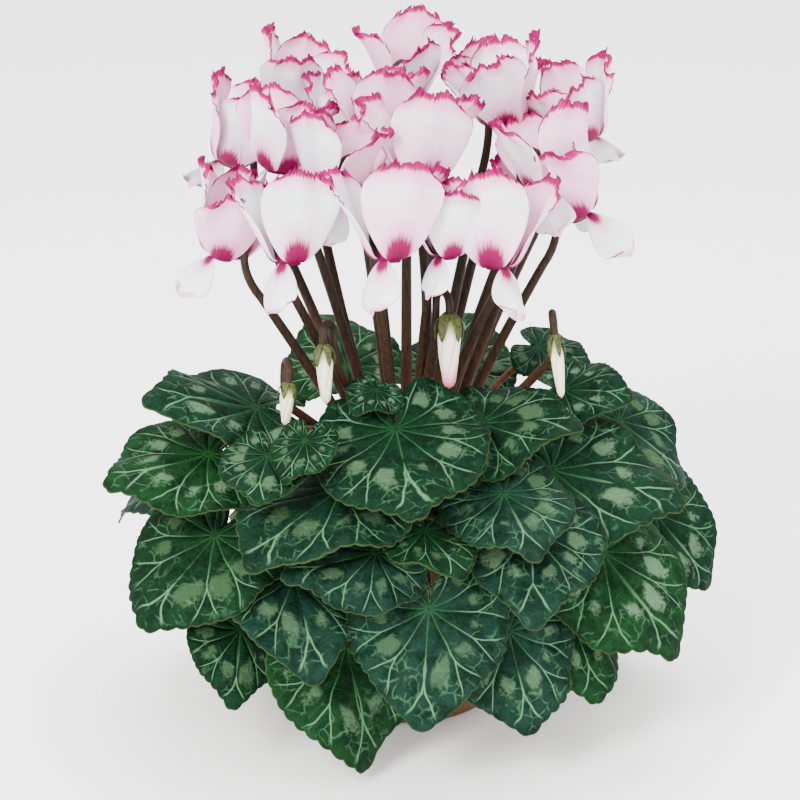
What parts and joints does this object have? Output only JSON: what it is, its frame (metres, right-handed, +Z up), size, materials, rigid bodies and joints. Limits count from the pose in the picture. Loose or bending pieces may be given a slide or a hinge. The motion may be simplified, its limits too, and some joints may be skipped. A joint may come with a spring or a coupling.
{
  "type": "potted cyclamen",
  "caption": "Potted cyclamen with patterned heart-shaped leaves, dark hooked stalks, and white fringed flowers with magenta edges and eyes, in a plain tapered pot.",
  "frame": {"origin": "middle of the pot's underside, on the surface that it stands on", "axes": "+Z up along the pot's axis, -Y to the front"},
  "size_m": [0.3013, 0.257, 0.334],
  "materials": {
    "pot": "matt terracotta brown",
    "soil": "loose dark peat",
    "stalk": "dark red-brown, slightly shiny",
    "leaf": "deep green with pale sage marks, semi-matt",
    "petal": "white with a magenta fringe and eye, soft sheen",
    "bud": "cream to pink with a green calyx"
  },
  "bodies": {
    "root": {"pot": "pot", "soil": "soil", "corm_and_stalks": "stalk", "leaf_01": "leaf", "leaf_02": "leaf", "leaf_03": "leaf", "leaf_04": "leaf", "leaf_05": "leaf", "leaf_06": "leaf", "leaf_07": "leaf", "leaf_08": "leaf", "leaf_09": "leaf", "leaf_10": "leaf", "leaf_11": "leaf", "leaf_12": "leaf", "leaf_13": "leaf", "leaf_14": "leaf", "leaf_15": "leaf", "leaf_16": "leaf", "leaf_17": "leaf", "leaf_18": "leaf", "leaf_19": "leaf", "leaf_20": "leaf", "leaf_21": "leaf", "leaf_22": "leaf", "leaf_23": "leaf", "leaf_24": "leaf", "leaf_25": "leaf", "leaf_26": "leaf", "leaf_27": "leaf", "leaf_28": "leaf", "leaf_29": "leaf", "leaf_30": "leaf", "leaf_31": "leaf", "leaf_32": "leaf", "leaf_33": "leaf", "leaf_34": "leaf", "leaf_35": "leaf", "leaf_36": "leaf", "bloom_01": "petal", "bloom_02": "petal", "bloom_03": "petal", "bloom_04": "petal", "bloom_05": "petal", "bloom_06": "petal", "bloom_07": "petal", "bloom_08": "petal", "bloom_09": "petal", "bloom_10": "petal", "bloom_11": "petal", "bloom_12": "petal", "bloom_13": "petal", "bud_01": "bud", "bud_02": "bud", "bud_03": "bud", "bud_04": "bud"}
  },
  "joints": []
}
